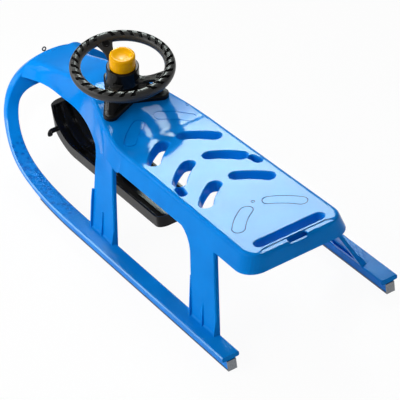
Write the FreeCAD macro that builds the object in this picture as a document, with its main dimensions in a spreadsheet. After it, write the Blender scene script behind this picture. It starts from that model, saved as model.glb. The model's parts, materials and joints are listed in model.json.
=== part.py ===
import FreeCAD, Part
import math
import os
import Sketcher
from FreeCAD import Placement, Rotation, Vector

# Child's plastic sled with a steering wheel: +X to the rider's right, +Y forward, +Z up, in mm.
# The source is drawn with y = 0 at the rear ends of the runners, and every node is then moved back
# by y_mid, so that the part stands with its base centre at the origin.

doc = FreeCAD.newDocument("steering_sled")
sheet = doc.addObject("Spreadsheet::Sheet", "Sizes")

SIZES = [
    ("track", 350.0, "spacing of the two runner centre lines"),
    ("flange_w", 36.0, "width of the runner's flat top"),
    ("flange_t", 9.8, "thickness of the runner's flat top"),
    ("rib_w", 18.7, "width of the runner's keel"),
    ("runner_top", 32.6, "height of the runner's flat top above the ground"),
    ("rail_t", 2.0, "thickness of the steel rail under each keel"),
    ("rail_gap", 0.3, "gap between the bent front of the rail and the keel"),
    ("rail_end", 0.1, "how far up the bow the rail reaches, as a share of its path"),
    ("bow_start", 560.0, "where each runner starts to bend up and inwards"),
    ("bow_reach", 400.0, "how far forward the bend carries on before it turns"),
    ("nose_y", 926.0, "rear face of the nose cross bar"),
    ("nose_z", 161.0, "middle height of the nose cross bar"),
    ("nose_h", 62.0, "height of the nose cross bar"),
    ("nose_d", 36.0, "depth of the nose cross bar"),
    ("nose_tip", 32.0, "height of the front face of the nose cross bar"),
    ("arm_w", 27.0, "width of each bow arm half way up"),
    ("arm_d", 26.0, "depth of each bow arm half way up"),
    ("arm_t", 19.0, "thickness of the flat part of each bow arm half way up"),
    ("edge_r", 2.0, "softening of the runner's and legs' outer edges"),
    ("seat_rear", 12.0, "rear face of the seat"),
    ("seat_end", 470.0, "front end of the straight part of the seat"),
    ("deck_z", 200.0, "height of the seat top"),
    ("skirt_z", 161.5, "height of the skirt's lower edge"),
    ("deck_half", 103.0, "half width of the seat top"),
    ("deck_taper", 4.0, "loss of half width from the rear to the front of the seat"),
    ("skirt_flare", 13.0, "how far the skirt stands out at its lower edge"),
    ("shoulder_r", 10.0, "rounding between seat top and skirt"),
    ("corner_r", 38.0, "rounding of the seat's rear corners"),
    ("wall", 4.5, "wall of the moulding"),
    ("neck_half", 47.0, "half width of the neck's top"),
    ("hump", 28.5, "rise of the neck under the steering base"),
    ("neck_end_z", 191.5, "height of the neck's top where it meets the nose"),
    ("nose_round", 30.0, "rounding of the neck's shoulders where it meets the nose"),
    ("nose_spread", 26.0, "spread of the neck's lower edge where it meets the nose"),
    ("leg_out", 51.0, "how far a leg's foot stands out from the skirt's lower edge"),
    ("leg_t", 9.0, "thickness of a leg"),
    ("leg_w", 86.0, "length of a leg along the runner"),
    ("leg_rear", 62.0, "rear edge of the rear leg on the runner"),
    ("leg_front", 436.0, "rear edge of the front leg on the runner"),
    ("leg_lean", 62.0, "how far a leg leans forward up to the skirt"),
    ("leg_flare", 30.0, "spread of a leg's front edge where it meets the skirt"),
    ("leg_foot", 3.0, "spread of a leg's outer face where it meets the runner"),
    ("gusset_t", 3.0, "thickness of the gussets at the foot of a leg"),
    ("gusset_toe", 2.0, "how far the gussets stand out beyond a leg's foot"),
    ("slot_len", 88.0, "length of a chevron slot"),
    ("slot_w", 26.0, "width of a chevron slot"),
    ("slot_pitch", 93.0, "spacing of the chevron rows"),
    ("slot_y", 421.0, "middle of the foremost chevron row"),
    ("slot_x", 46.2, "middle of a chevron slot from the centre line"),
    ("collar_t", 3.0, "wall of the collar round each slot"),
    ("collar_d", 24.0, "depth of the collar round each slot"),
    ("slot_edge", 2.0, "softening of the upper edge of each slot"),
    ("groove_w", 1.6, "width of the engraved outlines"),
    ("groove_d", 1.0, "depth of the engraved outlines"),
    ("ledge_d", 1.6, "drop of the ledge behind the hand slot"),
    ("handle_len", 148.0, "length of the hand slot at the rear"),
    ("handle_w", 22.0, "width of the hand slot at the rear"),
    ("handle_y", 44.0, "middle of the hand slot"),
    ("tilt", 12.0, "backward tilt of the steering column in degrees"),
    ("col_y", 626.0, "steering column axis at the foot of the base"),
    ("col_z", 225.0, "height of the foot of the steering base"),
    ("shaft_d", 16.0, "diameter of the steering shaft"),
    ("run_gap", 0.05, "running clearance of the shaft, on the radius"),
    ("col_foot", 66.0, "depth of the column boss below the foot of the base"),
    ("base_t", 9.0, "thickness of the steering base"),
    ("lobe_r", 15.0, "end radius of the base lobes"),
    ("lobe_reach", 76.0, "distance of the lobe centres from the column"),
    ("lobe_front", 48.0, "distance of the front lobe's centre from the column"),
    ("base_core", 36.0, "radius of the middle of the base"),
    ("base_h", 28.0, "height of the base's cone"),
    ("arm_root", 50.0, "width of a base arm at the column"),
    ("arm_tip", 15.0, "width of a base arm at its lobe"),
    ("bush_d", 24.0, "outside diameter of the column bushes"),
    ("bush_len", 26.0, "length of the lower bush in its bore"),
    ("bush_lip", 2.0, "thickness of the bush flanges"),
    ("clip_t", 1.8, "thickness of the shaft clip"),
    ("clip_in", 1.0, "depth of the clip's groove in the shaft"),
    ("end_gap", 0.4, "end clearance of the shaft between its bushes"),
    ("rim_r", 93.5, "centre line radius of the wheel rim"),
    ("rim_tube", 11.2, "radius of the rim's section"),
    ("rim_z", 68.0, "height of the rim above the foot of the base"),
    ("hub_d", 65.0, "diameter of the wheel hub"),
    ("hub_top", 69.0, "top of the wheel hub above the foot of the base"),
    ("well_d", 17.0, "depth of the hub's well"),
    ("hub_floor", 7.0, "thickness of the hub's floor over the shaft"),
    ("washer_t", 1.6, "thickness of the washer under the wheel bolt"),
    ("wheel_bolt_len", 40.0, "length of the wheel bolt under its head"),
    ("spoke_turn", -6.0, "turn of the wheel on its shaft, in degrees"),
    ("spoke_spread", 138.0, "angle from the front spoke to each rear spoke, in degrees"),
    ("cap_d", 51.5, "diameter of the horn button"),
    ("cap_top", 97.0, "top of the horn button above the foot of the base"),
    ("cap_t", 3.0, "wall of the horn button"),
    ("horn_press", 6.0, "travel of the horn button"),
    ("ski_w", 100.0, "width of the steering ski"),
    ("ski_tail", 449.0, "rear end of the steering ski"),
    ("ski_tip", 905.0, "front end of the steering ski"),
    ("ski_rise", 92.0, "height of the ski's front end"),
    ("ski_z", 5.0, "height of the ski's sole above the ground"),
    ("ski_floor", 5.0, "thickness of the ski's sole"),
    ("ski_rim", 24.0, "height of the ski's raised rim"),
    ("ski_boss", 42.0, "diameter of the ski's boss"),
    ("shaft_foot", 186.0, "lower end of the shaft below the foot of the base"),
    ("socket_len", 36.0, "depth of the shaft in the ski's boss"),
    ("cross_in", 18.0, "distance of the ski's cross bolt from the lower end of the shaft"),
    ("cross_seat", 38.0, "distance between the seats of the cross bolt's head and nut"),
    ("hook_d", 11.0, "diameter of the ski's side hooks"),
    ("bolt_d", 6.0, "diameter of the wheel bolt and of the ski's cross bolt"),
    ("screw_d", 4.0, "diameter of the rail and base screws"),
    ("rail_screw_len", 16.0, "length of a rail screw"),
    ("rail_screw_in", 90.0, "distance of the rail screws from both ends of the straight runner"),
    ("post_r", 7.0, "radius of the screw posts under the base"),
    ("post_len", 23.0, "depth of the screw posts below the foot of the base"),
    ("base_screw_in", 6.0, "reach of the base screws into the lobes"),
    ("eye_r", 4.0, "centre line radius of the tow eye"),
    ("eye_wire", 1.4, "radius of the tow eye's wire"),
    ("eye_y", 974.0, "middle of the tow eye, along the sled"),
    ("eye_z", 176.0, "middle height of the tow eye"),
    ("eye_len", 30.0, "length of the tow eye's shank"),
]
for row, (alias, value, note) in enumerate(SIZES, start=1):
    sheet.set("A%d" % row, note)
    sheet.set("B%d" % row, str(value))
    sheet.setAlias("B%d" % row, alias)
last = len(SIZES) + 1
sheet.set("A%d" % last, "middle of the whole length, moved to y = 0")
sheet.set("B%d" % last, "=(eye_y + eye_wire - rail_t) / 2")
sheet.setAlias("B%d" % last, "y_mid")
doc.recompute()


def size(name):
    return float(sheet.get(name))


def smooth(x):
    x = min(1.0, max(0.0, x))
    return x * x * (3.0 - 2.0 * x)


def mix(a, b, k):
    return a + (b - a) * k


NODES = []


def keep(obj, label):
    obj.Label = label
    NODES.append(obj)
    return obj


def set_on_ground(obj):
    # pieces drawn straight in the sled's own frame
    obj.setExpression("Placement.Base.y", "-Sizes.y_mid")


def set_on_column(obj):
    # pieces drawn round the steering axis, with z = 0 at the foot of the base
    obj.Placement = Placement(Vector(0, 0, 0), Rotation(Vector(1, 0, 0), size("tilt")))
    obj.setExpression("Placement.Base.y", "Sizes.col_y - Sizes.y_mid")
    obj.setExpression("Placement.Base.z", "Sizes.col_z")
    obj.setExpression("Placement.Rotation.Angle", "Sizes.tilt")


def solid_from_code(label, shape, on_column=False):
    obj = doc.addObject("Part::Feature", label)
    obj.Shape = shape
    if on_column:
        set_on_column(obj)
    else:
        set_on_ground(obj)
    return keep(obj, label)


def origin_plane(body, role):
    return [o for o in body.Origin.OriginFeatures if o.Role == role][0]


def outline(body, role, points):
    # a closed polygon sketch whose corners are tied to the sheet by their two coordinates
    sk = body.newObject("Sketcher::SketchObject", "Outline")
    sk.AttachmentSupport = [(origin_plane(body, role), "")]
    sk.MapMode = "FlatFace"
    spots = []
    for ex, ey in points:
        x = sheet.evalExpression(ex)
        y = sheet.evalExpression(ey)
        spots.append(Vector(float(x), float(y), 0))
    n = len(spots)
    for i in range(n):
        sk.addGeometry(Part.LineSegment(spots[i], spots[(i + 1) % n]))
    for i in range(n):
        sk.addConstraint(Sketcher.Constraint("Coincident", i, 2, (i + 1) % n, 1))
    for i, (ex, ey) in enumerate(points):
        c = sk.addConstraint(Sketcher.Constraint("DistanceX", -1, 1, i, 1, spots[i].x))
        sk.setExpression("Constraints[%d]" % c, bind(ex))
        c = sk.addConstraint(Sketcher.Constraint("DistanceY", -1, 1, i, 1, spots[i].y))
        sk.setExpression("Constraints[%d]" % c, bind(ey))
    return sk


def bind(text):
    # the aliases of the sheet, written as the other objects see them
    words = []
    word = ""
    for ch in text + " ":
        if ch.isalnum() or ch == "_":
            word += ch
            continue
        if word and word[0].isalpha():
            word = "Sizes." + word
        words.append(word + ch)
        word = ""
    return "".join(words).strip()


def turned(label, points, on_column=True):
    # a piece of revolution about the local Z axis
    body = doc.addObject("PartDesign::Body", label)
    sk = outline(body, "XZ_Plane", points)
    rev = body.newObject("PartDesign::Revolution", "Turned")
    rev.Profile = sk
    rev.ReferenceAxis = (sk, ["V_Axis"])
    rev.Angle = 360
    if on_column:
        set_on_column(body)
    return keep(body, label)


# The runner and bow: a T section that follows each runner, bends up and in, and joins at the nose.

track_half = size("track") / 2


def bow_spine(u):
    z0 = size("runner_top")
    y0 = size("bow_start")
    y1 = size("nose_y")
    z1 = size("nose_z")
    poles = [
        Vector(-track_half, y0, z0),
        Vector(-track_half, y0 + size("bow_reach"), z0),
        Vector(-0.713 * track_half, mix(y0, y1, 0.628), mix(z0, z1, 0.41)),
        Vector(-0.884 * track_half, y1 + 34.0, mix(z0, z1, 0.64)),
        Vector(-0.543 * track_half, y1, z1),
        Vector(0, y1, z1),
    ]
    while len(poles) > 2:
        poles = [a * (1 - u) + b * u for a, b in zip(poles, poles[1:])]
    a, b = poles
    return a * (1 - u) + b * u, (b - a).normalize()


def bow_frame(u):
    # outward direction: down on the runner, forward on the nose
    turn = math.radians(90.0 * math.sin(math.radians(90.0 * u ** 1.2)))
    spot, t = bow_spine(u)
    ref = Vector(0, math.sin(turn), -math.cos(turn))
    out = (ref - t * ref.dot(t)).normalize()
    side = out.cross(t)
    return spot, side, out


def bow_sizes(u):
    low = smooth(u / 0.5)
    high = smooth((u - 0.6) / 0.4)
    flange = size("flange_w") - (size("flange_w") - size("arm_w")) * low
    flange += (size("nose_h") - size("arm_w")) * smooth((u - 0.68) / 0.32)
    depth = size("runner_top") - size("rail_t")
    depth += (size("arm_d") - depth) * low + (size("nose_d") - size("arm_d")) * high
    keel = mix(size("rib_w"), 0.93 * flange, smooth((u - 0.2) / 0.6))
    tip = mix(size("rib_w"), size("nose_tip"), high)
    thick = mix(mix(size("flange_t"), size("arm_t"), low), 14.0, high)
    return flange, thick, keel, tip, depth


def bow_section(u):
    c, side, out = bow_frame(u)
    flange, thick, keel, tip, depth = bow_sizes(u)
    flat = [
        (-flange / 2, 0), (flange / 2, 0),
        (flange / 2, thick), (keel / 2, thick),
        (tip / 2, depth), (-tip / 2, depth),
        (-keel / 2, thick), (-flange / 2, thick),
    ]
    spots = [c + side * a + out * b for a, b in softened(flat, (3, 6))]
    return Part.makePolygon(spots + [spots[0]])


def softened(flat, sharp):
    # every corner of a closed outline is cut off by the edge softening, apart from those in sharp
    soft = []
    n = len(flat)
    for i, (x, y) in enumerate(flat):
        if i in sharp:
            soft.append((x, y))
            continue
        for px, py in (flat[i - 1], flat[(i + 1) % n]):
            length = math.hypot(px - x, py - y)
            k = min(size("edge_r"), 0.4 * length) / length
            soft.append((mix(x, px, k), mix(y, py, k)))
    return soft


def mirrored(shape):
    return shape.mirror(Vector(0, 0, 0), Vector(1, 0, 0))


def prism(points, along):
    return Part.Face(Part.makePolygon(points + [points[0]])).extrude(along)


half_f = size("flange_w") / 2
half_r = size("rib_w") / 2
keel_z = size("rail_t")
under = size("runner_top") - size("flange_t")
runner_end = [Vector(v.Point.x, 0, v.Point.z) for v in bow_section(0.0).Vertexes]
runner_left = prism(runner_end, Vector(0, size("bow_start"), 0))


def other_side(wire):
    spots = [Vector(-v.Point.x, v.Point.y, v.Point.z) for v in wire.Vertexes]
    return Part.makePolygon(spots + [spots[0]])


# One skin runs from the left runner over the nose to the right runner. The flat faces of the two
# straight runners are sewn to it, without the faces at the joint, and the closed skin is the solid.

BOW_STEPS = [0.0, 0.02, 0.05, 0.09, 0.14, 0.2, 0.28, 0.38, 0.48, 0.58, 0.68, 0.78, 0.88, 0.95]
climb = [bow_section(u) for u in BOW_STEPS]
bow = Part.makeLoft(climb + [bow_section(1.0)] + [other_side(w) for w in reversed(climb)], False, False)
skin = list(bow.Faces)
for runner in (runner_left, mirrored(runner_left)):
    for face in runner.Faces:
        if face.BoundBox.YMin < size("bow_start") - 1.0:
            skin.append(face)
hoop_shell = Part.Shell(skin)
hoop_shell.sewShape()
hoop = Part.Solid(hoop_shell)

# The seat and neck: arch sections with a flat top, rounded shoulders and a flared skirt.


def near_nose(y):
    # the neck spreads into the bow with a hollow curve
    start = size("nose_y") - 126.0
    return size("nose_spread") * min(1.0, max(0.0, (y - start) / 126.0)) ** 3


def shoulder(y):
    start = size("nose_y") - 166.0
    return mix(size("shoulder_r"), size("nose_round"), smooth((y - start) / 166.0))


def deck_half(y):
    y0 = size("seat_rear")
    y1 = size("seat_end")
    a = size("deck_half") - size("deck_taper") * min(1.0, (y - y0) / (y1 - y0))
    return mix(a, size("neck_half"), smooth((y - y1) / 270.0)) + 0.4 * near_nose(y)


def skirt_half(y):
    y1 = size("seat_end")
    flare = size("skirt_flare")
    a = deck_half(min(y, y1)) + flare
    b = size("neck_half") + 0.85 * flare
    return mix(a, b, smooth((y - y1 - 10.0) / 275.0)) + near_nose(y)


def top_z(y):
    y1 = size("seat_end")
    up = size("hump") * smooth((y - y1 - 10.0) / 200.0)
    crest = size("deck_z") + size("hump")
    down = (crest - size("neck_end_z")) * smooth((y - y1 - 230.0) / (size("nose_y") - y1 - 230.0))
    return size("deck_z") + up - down


def low_z(y):
    foot = size("leg_front") + size("leg_w") + size("leg_lean")
    return size("skirt_z") - 14.0 * smooth((y - foot + 40.0) / 40.0) * smooth((foot + 70.0 - y) / 70.0)


def arch(y, inset, drop, z_cut=None, narrow=0.0):
    a = deck_half(y) - inset - narrow
    b = skirt_half(y) - inset - narrow
    zt = top_z(y) - inset
    zb = low_z(y)
    if z_cut is not None:
        zt = z_cut
    k = (b - a) / (zt - zb)
    zb -= drop
    b += k * drop
    r = max(1.5, shoulder(y) - inset)
    corner = Vector(a, y, zt)
    down = (Vector(b, y, zb) - corner).normalize()
    level = Vector(-1, 0, 0)
    half = 0.5 * math.acos(down.dot(level))
    reach = r / math.tan(half)
    mid = (down + level).normalize() * (r / math.sin(half) - r)
    p = [Vector(b, y, zb), corner + down * reach, corner + mid, corner + level * reach]
    q = [Vector(-v.x, v.y, v.z) for v in p]
    edges = [
        Part.makeLine(p[0], p[1]),
        Part.Arc(p[1], p[2], p[3]).toShape(),
        Part.makeLine(p[3], q[3]),
        Part.Arc(q[3], q[2], q[1]).toShape(),
        Part.makeLine(q[1], q[0]),
        Part.makeLine(q[0], p[0]),
    ]
    return Part.Wire(edges)


def rear_stack(inset, drop):
    # the rear corners follow a circle in plan, and the top rounds down to the rear face
    wires = []
    r = size("corner_r") - inset
    y0 = size("seat_rear") + inset
    for step in range(9):
        ang = math.radians(90.0 * step / 8.0)
        y = y0 + r * (1.0 - math.cos(ang))
        soft = max(1.5, size("shoulder_r") - inset)
        fall = max(0.0, 1.0 - (y - y0) / soft)
        edge = top_z(y) - inset - soft * (1.0 - math.sqrt(1.0 - fall * fall))
        wires.append(arch(y, inset, drop, edge, r * (1.0 - math.sin(ang))))
    return wires


neck_last = size("nose_y") + 4.0
NECK_STEPS = [0.0, 0.08, 0.17, 0.27, 0.37, 0.47, 0.57, 0.68, 0.78, 0.86, 0.93, 1.0]


def seat_and_neck(inset, drop, y_last):
    y1 = size("seat_end")
    rear = rear_stack(inset, drop)
    body = Part.makeLoft(rear, True, True)
    straight = Part.makeLoft([rear[-1], arch(y1, inset, drop)], True, True)
    stations = [mix(y1, y_last, k) for k in NECK_STEPS]
    neck = Part.makeLoft([arch(y, inset, drop) for y in stations], True, False)
    return body.fuse([straight, neck])


wall = size("wall")
moulding = seat_and_neck(0.0, 0.0, neck_last)
hollow = seat_and_neck(wall, 30.0, size("nose_y") - 12.0)

# The legs: plates in the slope of the skirt, with a hollow back and three gussets at the foot.

slope = size("leg_out") / (size("skirt_z") - size("runner_top"))


def leg_x(y, z):
    # outer face of a leg: 0.4 mm inside the skirt's slope, so that the two walls run into each other
    reach = skirt_half(y) + (size("skirt_z") - z) * slope
    return -(reach - 0.4)


def leg_plate(foot, inset, out, thick):
    y_a = foot + inset
    y_b = foot + size("leg_w") - inset
    z0 = size("runner_top")
    z1 = size("skirt_z")
    levels = []
    if inset:
        levels.append((under + 2.0 + 2.0 * inset, 0.0, 0.0))
    else:
        levels.append((under + 2.0, 0.0, 1.0))
        for rise, spread in ((0.0, 1.0), (0.15, 0.72), (0.4, 0.42), (0.8, 0.17), (1.3, 0.05), (2.0, 0.0)):
            levels.append((z0 + size("leg_foot") * rise, 0.0, spread))
    for drop, share in ((30.0, 0.0), (20.0, 0.1), (11.0, 0.33), (4.0, 0.66)):
        levels.append((z1 - inset - drop, share, 0.0))
    if not inset:
        levels.append((z1, 1.0, 0.0))
        levels.append((mix(z1, size("deck_z"), 0.6), 1.0, 0.0))
    rows = []
    for z, share, spread in levels:
        k = (z - z0) / (z1 - z0)
        ya = y_a + size("leg_lean") * k
        yb = y_b + size("leg_lean") * k + size("leg_flare") * share
        foot_y = min(foot + size("leg_w") / 2, size("seat_end"))
        xa = leg_x(mix(foot_y, ya, smooth(k)), z) + out
        xb = leg_x(mix(foot_y, yb, smooth(k)), z) + out
        skew = spread * size("leg_foot")
        flat = [(xa - skew, ya), (xb - skew, yb), (xb + thick, yb), (xa + thick, ya)]
        if not inset:
            flat = softened(flat, (2, 3))
        rows.append([Vector(px, py, z) for px, py in flat])
    wires = [Part.makePolygon(r + [r[0]]) for r in rows]
    return Part.makeLoft(wires, True, True)


def leg_face(foot, k, z):
    # outer face of a leg at height z and at the share k of its width
    rise = (z - size("runner_top")) / (size("skirt_z") - size("runner_top"))
    foot_y = min(foot + size("leg_w") / 2, size("seat_end"))
    ya = foot + size("leg_lean") * rise
    xa = leg_x(mix(foot_y, ya, smooth(rise)), z)
    xb = leg_x(mix(foot_y, ya + size("leg_w"), smooth(rise)), z)
    return mix(xa, xb, k)


def gusset(foot, k, height):
    # a thin upright web on the outer face, widest at the runner, which follows the face as it twists
    y = foot + k * (size("leg_w") - size("gusset_t"))
    z0 = size("runner_top") - 1.0
    lean = size("leg_lean") / (size("skirt_z") - size("runner_top"))
    toe = size("leg_foot") + size("gusset_toe") + 0.2
    outer = []
    inner = []
    for share in (0.0, 0.35, 0.7, 1.0):
        up = share * height
        x = leg_face(foot, k, z0 + up)
        outer.append(Vector(x + 0.2 - toe * (1.0 - share), y + lean * up, z0 + up))
        inner.append(Vector(x + 4.0, y + lean * up, z0 + up))
    return prism(outer + inner[::-1], Vector(0, size("gusset_t"), 0))


legs = []
pockets = []
for foot in (size("leg_rear"), size("leg_front")):
    legs.append(leg_plate(foot, 0.0, 0.0, size("leg_t")))
    pockets.append(leg_plate(foot, 9.0, wall, size("leg_t")))
    for k, height in ((0.0, 22.0), (0.5, 38.0), (1.0, 62.0)):
        legs.append(gusset(foot, k, height))
legs += [mirrored(leg) for leg in legs]
pockets += [mirrored(pocket) for pocket in pockets]

# The openings of the seat: chevron slots with collars, two small ovals and the hand slot.


def slot_face(cx, cy, z, length, width, turn, bend=0.0):
    # a rounded slot, slightly bowed forward
    r = width / 2
    h = length / 2 - r
    pts = []
    if bend:
        big = (h * h + bend * bend) / (2 * bend)
        base = Vector(0, bend - big, 0)
        sweep = math.asin(h / big)

        def on(rad, ang):
            return base + Vector(rad * math.sin(ang), rad * math.cos(ang), 0)

        o0, o1, o2 = on(big + r, -sweep), on(big + r, 0), on(big + r, sweep)
        i0, i1, i2 = on(big - r, sweep), on(big - r, 0), on(big - r, -sweep)
        e = on(big, sweep) + Vector(math.cos(sweep), -math.sin(sweep), 0) * r
        f = on(big, -sweep) + Vector(-math.cos(sweep), -math.sin(sweep), 0) * r
        pts = [(o0, o1, o2), (o2, e, i0), (i0, i1, i2), (i2, f, o0)]
        edges = [Part.Arc(*p).toShape() for p in pts]
    else:
        edges = [
            Part.makeLine(Vector(-h, r, 0), Vector(h, r, 0)),
            Part.Arc(Vector(h, r, 0), Vector(h + r, 0, 0), Vector(h, -r, 0)).toShape(),
            Part.makeLine(Vector(h, -r, 0), Vector(-h, -r, 0)),
            Part.Arc(Vector(-h, -r, 0), Vector(-h - r, 0, 0), Vector(-h, r, 0)).toShape(),
        ]
    face = Part.Face(Part.Wire(edges))
    face.Placement = Placement(Vector(cx, cy, z), Rotation(Vector(0, 0, 1), turn))
    return face


SLOT_TURN = 43.0
SLOT_BEND = 3.0
openings = []
for row in range(3):
    cy = size("slot_y") - row * size("slot_pitch")
    openings.append((-size("slot_x"), cy, size("slot_len"), size("slot_w"), SLOT_TURN, SLOT_BEND))
    openings.append((size("slot_x"), cy, size("slot_len"), size("slot_w"), -SLOT_TURN, SLOT_BEND))
oval_x = 82.5
oval_y = size("slot_y") - 1.52 * size("slot_pitch")
openings.append((-oval_x, oval_y, 33.0, 15.0, 78.0, 0.0))
openings.append((oval_x, oval_y, 33.0, 15.0, -78.0, 0.0))
openings.append((0.0, size("handle_y"), size("handle_len"), size("handle_w"), 0.0, 0.0))

collars = []
holes = []
top = size("deck_z")
for cx, cy, length, width, turn, bend in openings:
    grow = 2 * size("collar_t")
    z0 = top - size("collar_d")
    ring = slot_face(cx, cy, z0, length + grow, width + grow, turn, bend)
    collars.append(ring.extrude(Vector(0, 0, size("collar_d") - 1.0)))
    hole = slot_face(cx, cy, z0 - 10.0, length, width, turn, bend)
    holes.append(hole.extrude(Vector(0, 0, size("collar_d") + 30.0)))
    soft = size("slot_edge")
    tight = slot_face(cx, cy, top - soft, length, width, turn, bend)
    wide = slot_face(cx, cy, top + soft, length + 4 * soft, width + 4 * soft, turn, bend)
    holes.append(Part.makeLoft([tight.OuterWire, wide.OuterWire], True, True))

# Engraved outlines in front of and behind the slots follow the surface at one depth, and so do two
# small round marks. Behind the hand slot the top drops by a small ledge with a thumb notch in it.

shallow = seat_and_neck(size("groove_d"), 30.0, size("nose_y") - 12.0)
grooves = []
for row in (-0.96, 3.17):
    cy = size("slot_y") - row * size("slot_pitch")
    for sx in (-1, 1):
        turn = -sx * SLOT_TURN
        rim = size("groove_w")
        long = size("slot_len") - 2.0
        wide = size("slot_w")
        at_x = sx * size("slot_x")
        outer = slot_face(at_x, cy, 100.0, long, wide, turn, SLOT_BEND)
        inner = slot_face(at_x, cy, 100.0, long - 2 * rim, wide - 2 * rim, turn, SLOT_BEND)
        grooves.append(outer.cut(inner).extrude(Vector(0, 0, 200.0)))
mark_y = size("slot_y") + 1.16 * size("slot_pitch")
mark = Part.makeCylinder(4.0, 200.0, Vector(86.0, mark_y, 100.0))
grooves.append(mark.cut(Part.makeCylinder(2.6, 200.0, Vector(86.0, mark_y, 100.0))))
grooves = [groove.cut(shallow) for groove in grooves]
gate = Vector(0, size("slot_y") - 2.78 * size("slot_pitch"), top - size("groove_d"))
grooves.append(Part.makeCylinder(4.0, 20.0, gate).cut(Part.makeCylinder(2.6, 20.0, gate)))
ledge_w = size("handle_y") - size("handle_w") / 2 - size("seat_rear") - 6.0
ledge_len = size("handle_len") + 12.0
ledge = slot_face(0.0, size("seat_rear"), top - size("ledge_d"), ledge_len, 2 * ledge_w, 0.0)
grooves.append(ledge.extrude(Vector(0, 0, 20.0)))
notch = slot_face(0.0, size("seat_rear") + 0.5 * ledge_w, top - 7.0, 42.0, ledge_w, 0.0)
grooves.append(notch.extrude(Vector(0, 0, 20.0)))

# The steering mount: a raised pad that is square to the column, a boss below it and the screw posts.

column = Placement(Vector(0, size("col_y"), size("col_z")), Rotation(Vector(1, 0, 0), size("tilt")))
LOBE_TURNS = (90.0, 220.0, 320.0)


def lobe_spot(turn, reach):
    return Vector(reach * math.cos(math.radians(turn)), reach * math.sin(math.radians(turn)), 0)


def lobe_end(turn):
    return size("lobe_front") if turn == LOBE_TURNS[0] else size("lobe_reach")


def lobe_face(turn, core, end_r, z):
    # the outline round a large circle at the column and a small one at the lobe's end
    d = lobe_end(turn)
    lift = math.acos((core - end_r) / d)
    pts = []
    for c, r, s in ((0.0, core, 1), (d, end_r, 1)):
        pts.append(Vector(c + r * math.cos(lift), r * math.sin(lift) * s, 0))
    a0, b0 = pts
    a1 = Vector(a0.x, -a0.y, 0)
    b1 = Vector(b0.x, -b0.y, 0)
    edges = [
        Part.makeLine(a0, b0),
        Part.Arc(b0, Vector(d + end_r, 0, 0), b1).toShape(),
        Part.makeLine(b1, a1),
        Part.Arc(a1, Vector(-core, 0, 0), a0).toShape(),
    ]
    face = Part.Face(Part.Wire(edges))
    face.Placement = Placement(Vector(0, 0, z), Rotation(Vector(0, 0, 1), turn))
    return face


def lobes(shrink, z, height):
    parts = []
    for turn in LOBE_TURNS:
        face = lobe_face(turn, size("base_core") - shrink, size("lobe_r") - shrink, z)
        parts.append(face.extrude(Vector(0, 0, height)))
    return parts[0].fuse(parts[1:]).removeSplitter()


def placed(shape, placement):
    copy = shape.copy()
    copy.Placement = placement.multiply(copy.Placement)
    return copy


boss_low = -size("col_foot")
pad = placed(lobes(2.0, -14.0, 14.0), column)
boss_h = size("col_foot") - 3.0
boss = placed(Part.makeCylinder(size("bush_d") / 2 + 7.0, boss_h, Vector(0, 0, boss_low)), column)
posts = []
screw_bores = []
for turn in LOBE_TURNS:
    spot = lobe_spot(turn, lobe_end(turn) - size("lobe_r") / 2)
    post_foot = spot + Vector(0, 0, -size("post_len"))
    posts.append(placed(Part.makeCylinder(size("post_r"), size("post_len") - 1.0, post_foot), column))
    bore = Part.makeCylinder(size("screw_d") / 2, size("post_len") + 10.0, post_foot - Vector(0, 0, 5.0))
    screw_bores.append(placed(bore, column))

sled = moulding.cut(hollow)
sled = sled.fuse([hoop] + legs)
sled = sled.cut(pockets)
sled = sled.fuse(collars + [pad, boss] + posts)
sled = sled.cut(holes + screw_bores)
sled = sled.cut(grooves)

bush_top = Vector(0, 0, boss_low + size("bush_len") - 60.0)
bush_bore = placed(Part.makeCylinder(size("bush_d") / 2, 60.0, bush_top), column)
shaft_way = placed(Part.makeCylinder(size("shaft_d") / 2 + 1.5, 120.0, Vector(0, 0, -100.0)), column)
sled = sled.cut([bush_bore, shaft_way])

rail_holes = []
RAIL_SCREW_Y = (size("rail_screw_in"), size("bow_start") - size("rail_screw_in"))
for sx in (-1, 1):
    for y in RAIL_SCREW_Y:
        spot = Vector(sx * track_half, y, 0)
        rail_holes.append(Part.makeCylinder(size("screw_d") / 2, size("rail_screw_len"), spot))
sled = sled.cut(rail_holes)

eye_foot = Vector(0, size("eye_y"), size("eye_z") - size("eye_r"))
shank = Part.makeCylinder(1.25 * size("eye_wire"), size("eye_len"), eye_foot, Vector(0, -1, 0))
# turned about its own axis, so that its seam lies off the middle line of the nose
shank.rotate(eye_foot, Vector(0, 1, 0), 33.0)
sled = sled.cut(shank)
if len(sled.Solids) != 1 or sled.BoundBox.XLength < size("track"):
    raise RuntimeError("the moulding did not come out as one piece")
solid_from_code("sled_body", sled)

# The steel rails: a flat strip under each keel, turned up over its rear end and bent with the bow.

RAIL_STEPS = 8


def rail_section(step):
    u = size("rail_end") * step / RAIL_STEPS
    c, side, out = bow_frame(u)
    flange, thick, keel, tip, depth = bow_sizes(u)
    near = depth + size("rail_gap") * min(1.0, step)
    far = depth + size("rail_t")
    corners = [(-tip / 2, near), (tip / 2, near), (tip / 2, far), (-tip / 2, far)]
    spots = [c + side * a + out * b for a, b in corners]
    return Part.makePolygon(spots + [spots[0]])


def rail_shape():
    t = size("rail_t")
    corner = Vector(-track_half - half_r, -t, 0)
    strip = Part.makeBox(size("rib_w"), size("bow_start") + t, t, corner)
    tab = Part.makeBox(size("rib_w"), t, under - 1.0, corner)
    front = Part.makeLoft([rail_section(k) for k in range(RAIL_STEPS + 1)], True, True)
    shape = strip.fuse([tab, front])
    for y in RAIL_SCREW_Y:
        shape = shape.cut(Part.makeCone(size("screw_d"), size("screw_d") / 2, t, Vector(-track_half, y, 0)))
    return shape


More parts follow.
